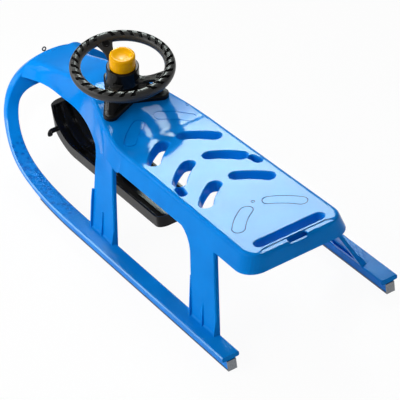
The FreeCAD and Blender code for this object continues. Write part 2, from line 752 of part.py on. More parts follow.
solid_from_code("rail_left", rail_shape())
solid_from_code("rail_right", mirrored(rail_shape()))

RAIL_SCREWS = [
    ("rail_screw_left_rear", "-Sizes.track / 2", "Sizes.rail_screw_in - Sizes.y_mid"),
    ("rail_screw_left_front", "-Sizes.track / 2", "Sizes.bow_start - Sizes.rail_screw_in - Sizes.y_mid"),
    ("rail_screw_right_rear", "Sizes.track / 2", "Sizes.rail_screw_in - Sizes.y_mid"),
    ("rail_screw_right_front", "Sizes.track / 2", "Sizes.bow_start - Sizes.rail_screw_in - Sizes.y_mid"),
]
for label, at_x, at_y in RAIL_SCREWS:
    screw = turned(
        label,
        [
            ("0", "0"),
            ("screw_d", "0"),
            ("screw_d / 2", "rail_t"),
            ("screw_d / 2", "rail_screw_len - 1"),
            ("screw_d / 4", "rail_screw_len"),
            ("0", "rail_screw_len"),
        ],
        False,
    )
    screw.setExpression("Placement.Base.x", at_x)
    screw.setExpression("Placement.Base.y", at_y)

# The steering base: a three lobed foot with a cone that carries the upper bush.

cone_h = size("base_h") - size("base_t") + 1.0
cone_foot = Vector(0, 0, size("base_t") - 1.0)
cone = Part.makeCone(size("base_core") - 4.0, size("bush_d") / 2 + 7.0, cone_h, cone_foot)
foot_plate = lobes(0.0, 0.0, size("base_t"))
top_edges = []
for edge in foot_plate.Edges:
    if edge.BoundBox.ZMin > size("base_t") - 0.01:
        top_edges.append(edge)
foot_plate = foot_plate.makeFillet(3.0, top_edges)


def base_arm(turn):
    # a tapered arm that falls from the cone to the lobe
    rows = []
    end = lobe_end(turn) + 0.4 * size("lobe_r")
    for r, width, z in (
        (4.0, size("arm_root"), size("base_h") - 3.0),
        (0.55 * end, 0.62 * size("arm_root"), mix(size("base_t"), size("base_h"), 0.6)),
        (0.9 * end, size("arm_tip"), size("base_t") + 5.0),
        (end, 0.7 * size("arm_tip"), size("base_t") - 1.0),
    ):
        w = width / 2
        flat = [(-w - 1.5, 1.0), (w + 1.5, 1.0), (w, z), (-w, z)]
        spots = [Vector(r, a, b) for a, b in softened(flat, (0, 1))]
        rows.append(Part.makePolygon(spots + [spots[0]]))
    arm = Part.makeLoft(rows, True, True)
    arm.rotate(Vector(0, 0, 0), Vector(0, 0, 1), turn)
    return arm


base = foot_plate.fuse([cone] + [base_arm(turn) for turn in LOBE_TURNS])
base = base.cut(Part.makeCylinder(size("bush_d") / 2, 2 * size("base_h"), Vector(0, 0, -1)))
for turn in LOBE_TURNS:
    spot = lobe_spot(turn, lobe_end(turn) - size("lobe_r") / 2) + Vector(0, 0, -1.0)
    base = base.cut(Part.makeCylinder(size("screw_d") / 2, size("base_screw_in") + 1.0, spot))
solid_from_code("steering_base", base, True)

for turn, name in zip(LOBE_TURNS, ("front", "left", "right")):
    screw = turned(
        "base_screw_%s" % name,
        [
            ("0", "0 - post_len - 3"),
            ("screw_d", "0 - post_len - 3"),
            ("screw_d", "0 - post_len"),
            ("screw_d / 2", "0 - post_len"),
            ("screw_d / 2", "base_screw_in"),
            ("0", "base_screw_in"),
        ],
    )
    reach = "(Sizes.lobe_%s - Sizes.lobe_r / 2)" % ("front" if name == "front" else "reach")
    across = "cos(%.0f deg)" % turn
    along = "sin(%.0f deg)" % turn
    screw.setExpression("Placement.Base.x", reach + " * " + across)
    lean = reach + " * " + along + " * cos(Sizes.tilt * 1 deg)"
    rise = reach + " * " + along + " * sin(Sizes.tilt * 1 deg)"
    screw.setExpression("Placement.Base.y", "Sizes.col_y - Sizes.y_mid + " + lean)
    screw.setExpression("Placement.Base.z", "Sizes.col_z + " + rise)

# The column: two bushes, the shaft, the clip under the lower bush and the wheel bolt.

turned(
    "upper_bush",
    [
        ("shaft_d / 2 + run_gap", "0.5"),
        ("bush_d / 2", "0.5"),
        ("bush_d / 2", "base_h"),
        ("bush_d / 2 + 4", "base_h"),
        ("bush_d / 2 + 4", "base_h + bush_lip"),
        ("shaft_d / 2 + run_gap", "base_h + bush_lip"),
    ],
)
turned(
    "lower_bush",
    [
        ("shaft_d / 2 + run_gap", "0 - col_foot - bush_lip"),
        ("bush_d / 2 + 4", "0 - col_foot - bush_lip"),
        ("bush_d / 2 + 4", "0 - col_foot"),
        ("bush_d / 2", "0 - col_foot"),
        ("bush_d / 2", "bush_len - col_foot"),
        ("shaft_d / 2 + run_gap", "bush_len - col_foot"),
    ],
)
turned(
    "shaft_clip",
    [
        ("shaft_d / 2 - clip_in", "0 - col_foot - bush_lip - end_gap - clip_t"),
        ("shaft_d / 2 + 4", "0 - col_foot - bush_lip - end_gap - clip_t"),
        ("shaft_d / 2 + 4", "0 - col_foot - bush_lip - end_gap"),
        ("shaft_d / 2 - clip_in", "0 - col_foot - bush_lip - end_gap"),
    ],
)
shaft = turned(
    "steering_shaft",
    [
        ("bolt_d / 2", "0 - shaft_foot"),
        ("shaft_d / 2", "0 - shaft_foot"),
        ("shaft_d / 2", "0 - col_foot - bush_lip - end_gap - clip_t"),
        ("shaft_d / 2 - clip_in", "0 - col_foot - bush_lip - end_gap - clip_t"),
        ("shaft_d / 2 - clip_in", "0 - col_foot - bush_lip - end_gap"),
        ("shaft_d / 2", "0 - col_foot - bush_lip - end_gap"),
        ("shaft_d / 2", "hub_top - well_d - hub_floor"),
        ("bolt_d / 2", "hub_top - well_d - hub_floor"),
    ],
)
cross = shaft.newObject("Sketcher::SketchObject", "CrossHole")
cross.AttachmentSupport = [(origin_plane(shaft, "YZ_Plane"), "")]
cross.MapMode = "FlatFace"
cross_z = size("shaft_foot") - size("cross_in")
middle = Vector(0, -cross_z, 0)
cross.addGeometry(Part.Circle(middle, Vector(0, 0, 1), size("bolt_d") / 2))
cross.addConstraint(Sketcher.Constraint("PointOnObject", 0, 3, -2))
level = cross.addConstraint(Sketcher.Constraint("DistanceY", 0, 3, -1, 1, cross_z))
cross.setExpression("Constraints[%d]" % level, "Sizes.shaft_foot - Sizes.cross_in")
bore = cross.addConstraint(Sketcher.Constraint("Radius", 0, size("bolt_d") / 2))
cross.setExpression("Constraints[%d]" % bore, "Sizes.bolt_d / 2")
drill = shaft.newObject("PartDesign::Pocket", "Drilled")
drill.Profile = cross
drill.Type = "ThroughAll"
drill.Midplane = True

# The wheel: hub with a well for the horn button, three dished spokes and the rim.

hub_r = size("hub_d") / 2
well_r = size("cap_d") / 2 + 0.4
well_z = size("hub_top") - size("well_d")
socket_z = well_z - size("hub_floor")
hub_low = size("base_h") + size("bush_lip") + size("end_gap")


def turned_solid(pairs):
    pts = [Vector(x, 0, z) for x, z in pairs]
    face = Part.Face(Part.makePolygon(pts + [pts[0]]))
    return face.revolve(Vector(0, 0, 0), Vector(0, 0, 1), 360)


hub = turned_solid(
    [
        (0, hub_low), (hub_r - 4.0, hub_low),
        (hub_r + 2.0, hub_low + 5.0), (hub_r, hub_low + 12.0),
        (hub_r, size("hub_top") - 1.5), (hub_r - 1.5, size("hub_top")),
        (0, size("hub_top")),
    ]
)


def spoke_section(r, z, width, thick):
    pts = [
        Vector(r, -width / 2, z - thick / 2), Vector(r, width / 2, z - thick / 2),
        Vector(r, width / 2 - 1.5, z + thick / 2), Vector(r, -width / 2 + 1.5, z + thick / 2),
    ]
    return Part.makePolygon(pts + [pts[0]])


def spoke():
    r0 = hub_r - 6.0
    r1 = size("rim_r")
    z0 = hub_low + 12.0
    z1 = size("rim_z")
    rows = []
    for k, width in ((0.0, 22.0), (0.3, 17.0), (0.55, 19.0), (0.78, 30.0), (0.97, 44.0)):
        rows.append(spoke_section(mix(r0, r1, k), mix(z0, z1, smooth(k)), width, 9.0))
    arm = Part.makeLoft(rows, True, False)
    dish = Part.makeCylinder(6.0, 12.0, Vector(mix(r0, r1, 0.78), 0, mix(z0, z1, smooth(0.78)) + 1.5))
    return arm.cut(dish)


rim = Part.makeTorus(size("rim_r"), size("rim_tube"), Vector(0, 0, size("rim_z")))
one = spoke()
spokes = []
for turn in (0.0, size("spoke_spread"), -size("spoke_spread")):
    arm = one.copy()
    arm.rotate(Vector(0, 0, 0), Vector(0, 0, 1), 90.0 + size("spoke_turn") + turn)
    spokes.append(arm)
wheel = hub.fuse(spokes + [rim])
wheel = wheel.cut(Part.makeCylinder(size("shaft_d") / 2, socket_z, Vector(0, 0, 0)))
wheel = wheel.cut(Part.makeCylinder(well_r, 3 * size("well_d"), Vector(0, 0, well_z)))
wheel = wheel.cut(Part.makeCylinder(size("bolt_d") / 2, 60.0, Vector(0, 0, well_z - 30.0)))
solid_from_code("steering_wheel", wheel, True)

turned(
    "wheel_washer",
    [
        ("bolt_d / 2", "hub_top - well_d"),
        ("bolt_d * 1.3", "hub_top - well_d"),
        ("bolt_d * 1.3", "hub_top - well_d + washer_t"),
        ("bolt_d / 2", "hub_top - well_d + washer_t"),
    ],
)
turned(
    "wheel_bolt",
    [
        ("0", "hub_top - well_d + washer_t - wheel_bolt_len"),
        ("bolt_d / 2", "hub_top - well_d + washer_t - wheel_bolt_len"),
        ("bolt_d / 2", "hub_top - well_d + washer_t"),
        ("bolt_d * 0.85", "hub_top - well_d + washer_t"),
        ("bolt_d * 0.85", "hub_top - well_d + washer_t + bolt_d * 0.65"),
        ("0", "hub_top - well_d + washer_t + bolt_d * 0.65"),
    ],
)

# The horn: a sprung button over a rubber bellows in the hub's well.

turned(
    "horn_button",
    [
        ("cap_d / 2 - cap_t", "hub_top - 10"),
        ("cap_d / 2", "hub_top - 10"),
        ("cap_d / 2", "cap_top - 4"),
        ("cap_d / 2 - 1.2", "cap_top - 1.2"),
        ("cap_d / 2 - 4", "cap_top"),
        ("cap_d / 2 - 8", "cap_top"),
        ("cap_d / 2 - 14", "cap_top - 2.2"),
        ("0", "cap_top - 3"),
        ("0", "cap_top - 3 - cap_t"),
        ("cap_d / 2 - cap_t", "cap_top - 3 - cap_t"),
    ],
)
turned(
    "horn_bellows",
    [
        ("bolt_d * 1.5", "hub_top - well_d"),
        ("14", "hub_top - well_d"),
        ("18", "hub_top - well_d + 4"),
        ("14", "hub_top - well_d + 8"),
        ("18", "hub_top - well_d + 12"),
        ("14", "hub_top - well_d + 16"),
        ("18", "hub_top - well_d + 20"),
        ("14", "hub_top - well_d + 24"),
        ("9", "cap_top - 3.3 - cap_t - horn_press"),
        ("6", "cap_top - 3.3 - cap_t - horn_press"),
        ("12", "hub_top - well_d + 22"),
        ("12", "hub_top - well_d + 4"),
        ("bolt_d * 1.5", "hub_top - well_d + 4"),
    ],
)

# The steering ski: a dished sole with a raised rim, three ribs, a boss for the shaft and two side hooks.

ski_half = size("ski_w") / 2
ski_bend_y = size("ski_tip") - 105.0


def ski_line(lift, extra):
    # the side view of the sole, raised square to itself by lift: tail, flat sole and upturned tip
    z = size("ski_z")
    tail_y = size("ski_tail") + extra
    rise = size("ski_rise") - z
    run = size("ski_tip") - extra - ski_bend_y
    r = (rise * rise + run * run) / (2 * rise)
    sweep = math.asin(min(1.0, run / r))
    big = r - lift
    c = Vector(0, ski_bend_y, z + r)
    pts = [
        Vector(0, tail_y, z + lift + 6.0),
        Vector(0, tail_y + 22.0, z + lift),
        Vector(0, ski_bend_y, z + lift),
    ]
    mid = c + Vector(0, big * math.sin(sweep / 2), -big * math.cos(sweep / 2))
    end = c + Vector(0, big * math.sin(sweep), -big * math.cos(sweep))
    return pts, mid, end


def ski_edges(line):
    pts, mid, end = line
    edges = [
        Part.makeLine(pts[0], pts[1]),
        Part.makeLine(pts[1], pts[2]),
        Part.Arc(pts[2], mid, end).toShape(),
    ]
    return edges, pts[0], end


def ski_band(lift0, lift1, extra, half):
    e0, a0, b0 = ski_edges(ski_line(lift0, extra))
    e1, a1, b1 = ski_edges(ski_line(lift1, extra))
    wire = Part.Wire(Part.__sortEdges__(e0 + [Part.makeLine(b0, b1)] + e1 + [Part.makeLine(a0, a1)]))
    face = Part.Face(wire)
    face.translate(Vector(-half, 0, 0))
    return face.extrude(Vector(2 * half, 0, 0))


def rounded_plan(y0, y1, half, r0, r1):
    s = math.sqrt(0.5)
    m0 = r0 * (1 - s)
    m1 = r1 * (1 - s)
    pts = [
        Vector(-half, y0 + r0, 0), Vector(-half, y1 - r1, 0),
        Vector(-half + m1, y1 - m1, 0), Vector(-half + r1, y1, 0),
        Vector(half - r1, y1, 0), Vector(half - m1, y1 - m1, 0), Vector(half, y1 - r1, 0),
        Vector(half, y0 + r0, 0), Vector(half - m0, y0 + m0, 0), Vector(half - r0, y0, 0),
        Vector(-half + r0, y0, 0), Vector(-half + m0, y0 + m0, 0),
    ]
    edges = [
        Part.makeLine(pts[0], pts[1]), Part.Arc(pts[1], pts[2], pts[3]).toShape(),
        Part.makeLine(pts[3], pts[4]), Part.Arc(pts[4], pts[5], pts[6]).toShape(),
        Part.makeLine(pts[6], pts[7]), Part.Arc(pts[7], pts[8], pts[9]).toShape(),
        Part.makeLine(pts[9], pts[10]), Part.Arc(pts[10], pts[11], pts[0]).toShape(),
    ]
    return Part.Face(Part.Wire(edges)).extrude(Vector(0, 0, 200))


rim_w = 5.0
ski_outer = ski_band(0.0, size("ski_rim"), 0.0, ski_half)
ski_outer = ski_outer.common(rounded_plan(size("ski_tail"), size("ski_tip"), ski_half, 18.0, 36.0))
ski_inner = ski_band(size("ski_floor"), size("ski_rim") + 20.0, rim_w, ski_half - rim_w)
inner_plan = rounded_plan(size("ski_tail") + rim_w, size("ski_tip") - rim_w, ski_half - rim_w, 14.0, 32.0)
ski_inner = ski_inner.common(inner_plan)
ski = ski_outer.cut(ski_inner)
for x in (-24.0, 0.0, 24.0):
    web = ski_band(size("ski_floor") - 1.0, size("ski_floor") + 8.0, 12.0, 2.5)
    web.translate(Vector(x, 0, 0))
    ski = ski.fuse(web)
ski_boss_low = (size("ski_z") + 2.0 - size("col_z")) / math.cos(math.radians(size("tilt")))
boss_len = size("socket_len") - size("shaft_foot") - ski_boss_low
ski_post = Part.makeCylinder(size("ski_boss") / 2, boss_len, Vector(0, 0, ski_boss_low))
ski_post = placed(ski_post, column)
above_sole = Part.makeBox(300, 300, 300, Vector(-150, size("col_y") - 150, size("ski_z") + 1.0))
ski = ski.fuse(ski_post.common(above_sole))


def side_hook():
    r = size("hook_d") / 2
    y = size("ski_tip") - 39.0
    z = size("ski_rise") - 44.0
    x0 = -ski_half + 2.0
    bar = Part.makeCylinder(r, 13.0, Vector(x0, y, z), Vector(-1, 0, 0))
    ring = Part.Face(Part.Wire(Part.makeCircle(r, Vector(x0 - 13.0, y, z), Vector(-1, 0, 0))))
    bend = ring.revolve(Vector(x0 - 13.0, y, z - 7.0), Vector(0, -1, 0), 100)
    return bar.fuse(bend)


ski = ski.fuse([side_hook(), mirrored(side_hook())])
shaft_end = Vector(0, 0, -size("shaft_foot"))
ski_socket = Part.makeCylinder(size("shaft_d") / 2, 2 * size("socket_len"), shaft_end)
cross_level = Vector(0, 0, -cross_z)
cross_x = Vector(1, 0, 0)
seat = size("cross_seat") / 2
cross_bore = Part.makeCylinder(size("bolt_d") / 2, 2 * seat, cross_level - cross_x * seat, cross_x)
head_seat = Part.makeCylinder(1.25 * size("bolt_d"), 20.0, cross_level - cross_x * seat, -cross_x)
nut_seat = Part.makeCylinder(1.25 * size("bolt_d"), 20.0, cross_level + cross_x * seat, cross_x)
for void in (ski_socket, cross_bore, head_seat, nut_seat):
    ski = ski.cut(placed(void, column))
solid_from_code("steering_ski", ski)

# The cross bolt that holds the ski on the shaft, with its nut.


def hexagon(across, thick, at):
    r = across / math.sqrt(3.0)
    pts = []
    for k in range(6):
        ang = math.radians(60.0 * k)
        pts.append(at + Vector(0, r * math.cos(ang), r * math.sin(ang)))
    return prism(pts, Vector(thick, 0, 0))


nut_t = 0.8 * size("bolt_d")
head_t = 0.65 * size("bolt_d")
across = 1.6 * size("bolt_d")
shank_len = 2 * seat + nut_t + 2.0
ski_shank = Part.makeCylinder(size("bolt_d") / 2, shank_len, cross_level - cross_x * seat, cross_x)
ski_head = hexagon(across, head_t, cross_level - cross_x * (seat + head_t))
solid_from_code("ski_bolt", ski_shank.fuse(ski_head), True)
ski_nut = hexagon(across, nut_t, cross_level + cross_x * seat)
solid_from_code("ski_nut", ski_nut.cut(ski_shank), True)

# The tow eye on the nose.

eye_mid = Vector(0, size("eye_y"), size("eye_z"))
ring = Part.makeTorus(size("eye_r"), size("eye_wire"), eye_mid, Vector(0, 1, 0))
solid_from_code("tow_eye", ring.fuse(shank))

doc.recompute()

os.makedirs("parts", exist_ok=True)
for obj in NODES:
    if "Invalid" in obj.State or "Error" in obj.State:
        raise RuntimeError("%s did not build" % obj.Label)
    shape = obj.Shape
    if shape.isNull() or not shape.isValid():
        raise RuntimeError("%s has no valid solid" % obj.Label)
    if len(shape.Solids) != 1:
        raise RuntimeError("%s is not one solid" % obj.Label)
    box = shape.optimalBoundingBox()
    low = [round(v, 1) for v in (box.XMin, box.YMin, box.ZMin)]
    high = [round(v, 1) for v in (box.XMax, box.YMax, box.ZMax)]
    print(obj.Label, round(shape.Volume), low, high)
    shape.exportStep("parts/%s.step" % obj.Label)
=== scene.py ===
# %% [markdown]
# # A child's steering sled
# The sled is one blue moulding: seat, neck, legs and two runners that bend up into a hoop. A black wheel turns
# a tilted column, and the column turns a black ski under the neck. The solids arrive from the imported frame,
# in metres and already in place, so this lesson adds finishes, a finer wheel, a softer cap, light and a camera.

# %% Load the frame
import json
import math
import bmesh
import bpy
from mathutils import Matrix, Vector


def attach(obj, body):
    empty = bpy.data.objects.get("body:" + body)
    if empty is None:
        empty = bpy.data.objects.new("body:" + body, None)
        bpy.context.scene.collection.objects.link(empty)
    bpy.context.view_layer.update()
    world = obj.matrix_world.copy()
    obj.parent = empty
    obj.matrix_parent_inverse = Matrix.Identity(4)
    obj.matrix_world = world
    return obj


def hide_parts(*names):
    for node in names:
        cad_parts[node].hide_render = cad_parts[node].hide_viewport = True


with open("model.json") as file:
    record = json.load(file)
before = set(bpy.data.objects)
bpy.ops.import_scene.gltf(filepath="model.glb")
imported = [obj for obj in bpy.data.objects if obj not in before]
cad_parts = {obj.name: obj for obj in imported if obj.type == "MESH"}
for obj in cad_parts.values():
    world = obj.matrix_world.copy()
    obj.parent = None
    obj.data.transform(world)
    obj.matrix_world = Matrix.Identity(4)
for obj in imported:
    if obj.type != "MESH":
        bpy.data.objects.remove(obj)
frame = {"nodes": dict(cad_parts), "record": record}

nodes = frame["nodes"]
bpy.context.view_layer.update()

# %% [markdown]
# ## The camera
# A product picture like this is taken from far away with a long lens, so parallel runners stay nearly parallel.
# The camera stands behind the seat, to the left and above, and leans a little. Its three axes are worked out
# from the angles, because a matrix says the lean more clearly than three Euler angles do.

# %% Camera at the picture's angle
AZIMUTH = math.radians(-27.781)
ELEVATION = math.radians(33.619)
LEAN = math.radians(-7.847)
DISTANCE = 4.004
TARGET = Vector((0.0, -0.1202, 0.0987))
SENSOR_MM = 36.0
FOCAL_MM = 187.545
FAR_CLIP = 60.0

back = Vector((math.sin(AZIMUTH) * math.cos(ELEVATION),
               -math.cos(AZIMUTH) * math.cos(ELEVATION),
               math.sin(ELEVATION)))
level = Vector((math.cos(AZIMUTH), math.sin(AZIMUTH), 0.0))
upward = back.cross(level)
right = level * math.cos(LEAN) + upward * math.sin(LEAN)
up = upward * math.cos(LEAN) - level * math.sin(LEAN)

lens = bpy.data.cameras.new("picture_camera")
lens.sensor_width = SENSOR_MM
lens.lens = FOCAL_MM
lens.clip_end = FAR_CLIP
camera = bpy.data.objects.new("picture_camera", lens)
place = Matrix((right, up, back)).transposed().to_4x4()
place.translation = TARGET + back * DISTANCE
camera.matrix_world = place
bpy.context.scene.collection.objects.link(camera)
bpy.context.scene.camera = camera
print("camera at", [round(v, 3) for v in camera.location])

# %% [markdown]
# ## The floor
# The sled stands on a plain white ground, like paper in a studio. A bright lamp on a white plane could do that, but
# it would also wash out the plastic. Here a Light Path node mixes plain white over a matt floor, for the rays of
# the camera, of reflections and of transmission only. It lights nothing else, so a faint shadow stays.

# %% Helpers for every node tree
scene = bpy.context.scene
scene.view_settings.view_transform = "Standard"


def node_tree(material):
    material.use_nodes = True
    tree = material.node_tree
    tree.nodes.clear()
    return tree


def feed(tree, socket, value):
    if isinstance(value, bpy.types.NodeSocket):
        tree.links.new(value, socket)
    else:
        socket.default_value = value


def maths(tree, operation, *values):
    step = tree.nodes.new("ShaderNodeMath")
    step.operation = operation
    for socket, value in zip(step.inputs, values):
        feed(tree, socket, value)
    return step.outputs["Value"]


print("view:", scene.view_settings.view_transform)

# %% Floor
FLOOR_WHITE = 0.95
FLOOR_MATT = (0.93, 0.93, 0.93, 1.0)
FLOOR_HALF = 30.0


def floor_finish():
    finish = bpy.data.materials.new("studio_floor")
    tree = node_tree(finish)
    out = tree.nodes.new("ShaderNodeOutputMaterial")
    matt = tree.nodes.new("ShaderNodeBsdfDiffuse")
    feed(tree, matt.inputs["Color"], FLOOR_MATT)
    white = tree.nodes.new("ShaderNodeEmission")
    ray = tree.nodes.new("ShaderNodeLightPath")
    seen = ray.outputs["Is Camera Ray"]
    for kind in ("Is Glossy Ray", "Is Transmission Ray"):
        seen = maths(tree, "MAXIMUM", seen, ray.outputs[kind])
    blend = tree.nodes.new("ShaderNodeMixShader")
    feed(tree, blend.inputs["Fac"], maths(tree, "MULTIPLY", seen, FLOOR_WHITE))
    feed(tree, blend.inputs[1], matt.outputs["BSDF"])
    feed(tree, blend.inputs[2], white.outputs["Emission"])
    feed(tree, out.inputs["Surface"], blend.outputs["Shader"])
    return finish


floor_mesh = bmesh.new()
bmesh.ops.create_grid(floor_mesh, x_segments=2, y_segments=2, size=FLOOR_HALF)
floor_data = bpy.data.meshes.new("studio_floor")
floor_mesh.to_mesh(floor_data)
floor_mesh.free()
floor = bpy.data.objects.new("studio_floor", floor_data)
floor.data.materials.append(floor_finish())
scene.collection.objects.link(floor)
print("floor:", len(floor_data.polygons), "faces")

# %% [markdown]
# ## The light
# Glossy plastic is only as good as what it reflects. A white world gives the base light, and five soft boxes do the
# rest. The first hangs in front of the nose, just where the flat seat mirrors it into the camera. It is a cool white,
# which keeps the pale seat from turning lavender. A large key fills the left side, and a fill in front lifts the
# neck. A small window is mirrored by the hump, and a narrow lamp brightens the inner face of the bow. An area
# lamp's spread works like the grid on a real soft box: a small angle keeps its light on one place.

# %% World and soft boxes
WORLD_STRENGTH = 0.32
NO_GRID = 180.0

world = bpy.data.worlds.new("white_studio")
scene.world = world
world.use_nodes = True
sky = world.node_tree.nodes["Background"]
sky.inputs["Color"].default_value = (1.0, 1.0, 1.0, 1.0)
sky.inputs["Strength"].default_value = WORLD_STRENGTH


def soft_box(name, centre, aim, width, height, power, fan=NO_GRID):
    lamp = bpy.data.lights.new(name, "AREA")
    lamp.shape = "RECTANGLE"
    lamp.size = width
    lamp.size_y = height
    lamp.energy = power
    lamp.spread = math.radians(fan)
    box = bpy.data.objects.new(name, lamp)
    box.location = centre
    box.rotation_euler = (Vector(aim) - Vector(centre)).to_track_quat("-Z", "Y").to_euler()
    scene.collection.objects.link(box)
    return box


SEAT_MIDDLE = Vector((0.0, -0.25, 0.2))
SHEEN_AWAY = 2.6
SHEEN_ASIDE = 0.04
COOL_WHITE = (0.85, 1.0, 0.94)

mirror_way = Vector((-back.x, -back.y, back.z))
mirror_side = mirror_way.cross((0.0, 0.0, 1.0)).normalized()
sheen_place = SEAT_MIDDLE + mirror_way * SHEEN_AWAY + mirror_side * SHEEN_ASIDE
sheen = soft_box("seat_sheen", sheen_place, SEAT_MIDDLE, width=0.82, height=0.5, power=1.8, fan=36.0)
sheen.data.color = COOL_WHITE
soft_box("left_key", centre=(-2.4, 0.7, 1.5), aim=(0.0, 0.0, 0.1), width=2.4, height=1.8, power=50.0)
soft_box("hump_window", centre=(0.81, 1.19, 1.63), aim=(0.02, 0.05, 0.2),
         width=0.34, height=0.36, power=0.17, fan=24.0)
soft_box("front_fill", centre=(-1.6, 2.6, 1.4), aim=(-0.1, 0.2, 0.1), width=1.6, height=1.2, power=20.0)
soft_box("bow_grid", centre=(-1.2, -1.5, 2.2), aim=(-0.17, 0.46, 0.16),
         width=0.3, height=0.3, power=0.2, fan=10.0)

# %% [markdown]
# ## Finishes
# Moulded plastic is never one flat colour: the melt flows unevenly, the skin has a faint orange peel, and the
# gloss varies. Each finish below reads Object coordinates, so its grain has a real size on the sled and stays
# put when a joint moves.

# %% Helpers for the finishes


def new_finish(name):
    finish = bpy.data.materials.new(name)
    tree = node_tree(finish)
    out = tree.nodes.new("ShaderNodeOutputMaterial")
    shader = tree.nodes.new("ShaderNodeBsdfPrincipled")
    spot = tree.nodes.new("ShaderNodeTexCoord")
    feed(tree, out.inputs["Surface"], shader.outputs["BSDF"])
    return finish, tree, shader, spot.outputs["Object"]


def noise(tree, where, scale, detail=3.0, rough=0.5):
    grain = tree.nodes.new("ShaderNodeTexNoise")
    feed(tree, grain.inputs["Scale"], scale)
    feed(tree, grain.inputs["Detail"], detail)
    feed(tree, grain.inputs["Roughness"], rough)
    feed(tree, grain.inputs["Vector"], where)
    return grain.outputs["Fac"]


def spread(tree, value, low, high, start=0.3, end=0.7):
    ranged = tree.nodes.new("ShaderNodeMapRange")
    feed(tree, ranged.inputs["From Min"], start)
    feed(tree, ranged.inputs["From Max"], end)
    feed(tree, ranged.inputs["To Min"], low)
    feed(tree, ranged.inputs["To Max"], high)
    feed(tree, ranged.inputs["Value"], value)
    return ranged.outputs["Result"]


def mixed(tree, kind, share, first, second):
    blend = tree.nodes.new("ShaderNodeMix")
    blend.data_type = kind
    feed(tree, blend.inputs["Factor"], share)
    feed(tree, blend.inputs["A"], first)
    feed(tree, blend.inputs["B"], second)
    return blend.outputs["Result"]


def two_tone(tree, share, dark, pale):
    return mixed(tree, "RGBA", share, (*dark, 1.0), (*pale, 1.0))


def relief(tree, height, depth, below=None):
    bump = tree.nodes.new("ShaderNodeBump")
    feed(tree, bump.inputs["Strength"], 1.0)
    feed(tree, bump.inputs["Distance"], depth)
    feed(tree, bump.inputs["Height"], height)
    if below is not None:
        feed(tree, bump.inputs["Normal"], below)
    return bump.outputs["Normal"]


print("helpers ready, materials so far:", len(bpy.data.materials))

# %% Plastic and steel
FLOW_SCALE = 14.0
FLOW_DETAIL = 4.0
GLOSS_SCALE = 60.0
PEEL_SCALE = 26.0
STROKE_SCALE = 300.0
STROKE_DEPTH = 0.00004


def moulded(name, dark, pale, gloss, shine, peel=0.00005):
    finish, tree, shader, where = new_finish(name)
    flow = spread(tree, noise(tree, where, FLOW_SCALE, FLOW_DETAIL), 0.0, 1.0)
    feed(tree, shader.inputs["Base Color"], two_tone(tree, flow, dark, pale))
    feed(tree, shader.inputs["Roughness"], spread(tree, noise(tree, where, GLOSS_SCALE), *gloss))
    skin = relief(tree, noise(tree, where, PEEL_SCALE, 0.0), peel)
    feed(tree, shader.inputs["Normal"], skin)
    feed(tree, shader.inputs["Specular IOR Level"], shine)
    return finish, tree, shader, where, skin


def steel(name, dark, pale, gloss, along):
    finish, tree, shader, where = new_finish(name)
    stretch = tree.nodes.new("ShaderNodeMapping")
    feed(tree, stretch.inputs["Scale"], along)
    feed(tree, stretch.inputs["Vector"], where)
    strokes = noise(tree, stretch.outputs["Vector"], STROKE_SCALE, 5.0, 0.65)
    tone = two_tone(tree, spread(tree, strokes, 0.0, 1.0), dark, pale)
    feed(tree, shader.inputs["Base Color"], tone)
    feed(tree, shader.inputs["Roughness"], spread(tree, strokes, *gloss))
    feed(tree, shader.inputs["Normal"], relief(tree, strokes, STROKE_DEPTH))
    feed(tree, shader.inputs["Metallic"], 1.0)
    return finish


print("recipes:", moulded.__name__, "plastic and drawn", steel.__name__)

# %% [markdown]
# ### The blue moulding
# The moulding is a saturated sky blue with a high gloss, but a white studio would wash such a blue out. So its
# shine is low and slightly cool, and the lamps give it the sheen. Some places differ: a grip, scuffs, engraved lines
# and polished edges. One finish holds them all, because the real sled is one piece. Each gets a mask made from
# where a point is and which way it faces, and the mask mixes the new value over the one before.

# %% Blue plastic
BLUE_DARK = (0.0008, 0.205, 0.69)
BLUE_PALE = (0.0015, 0.245, 0.78)
BLUE_GLOSS = (0.07, 0.1)
BLUE_SHINE = 0.045
BLUE_TINT = (0.74, 1.0, 0.96, 1.0)

blue, tree, shader, where, skin = moulded("sled_blue_gloss", BLUE_DARK, BLUE_PALE, BLUE_GLOSS, BLUE_SHINE)
feed(tree, shader.inputs["Specular Tint"], BLUE_TINT)
print("plain blue:", len(tree.nodes), "nodes")

# %% Masks


def times(tree, first, second):
    return maths(tree, "MULTIPLY", first, second)


def within(tree, value, start, end, soft):
    rise = spread(tree, value, 0.0, 1.0, start, start + soft)
    fall = spread(tree, value, 1.0, 0.0, end - soft, end)
    return times(tree, rise, fall)


def split(tree, vector):
    parts = tree.nodes.new("ShaderNodeSeparateXYZ")
    feed(tree, parts.inputs["Vector"], vector)
    return parts.outputs["X"], parts.outputs["Y"], parts.outputs["Z"]


def change(tree, socket, kind, share, value):
    before = socket.links[0].from_socket
    feed(tree, socket, mixed(tree, kind, share, before, value))


def duller(share, gloss):
    change(tree, shader.inputs["Roughness"], "FLOAT", share, gloss)


def tinted(share, colour):
    change(tree, shader.inputs["Base Color"], "RGBA", share, (*colour, 1.0))


facing = tree.nodes.new("ShaderNodeNewGeometry").outputs["Normal"]
across, along, height = split(tree, where)
faces_across, _, faces_up = split(tree, facing)
off_centre = maths(tree, "ABSOLUTE", across)
print("masks read place and facing:", len(tree.nodes), "nodes")

# %% [markdown]
# ### The hammered grip
# On the inner face of each bow arm the mould was hammered, which gives the hand a grip: rounded cells about ten
# millimetres wide. They are too shallow to change the outline, so they are a relief in the finish. The middles of the
# cells are also a deeper blue, because a hollow sees less light.

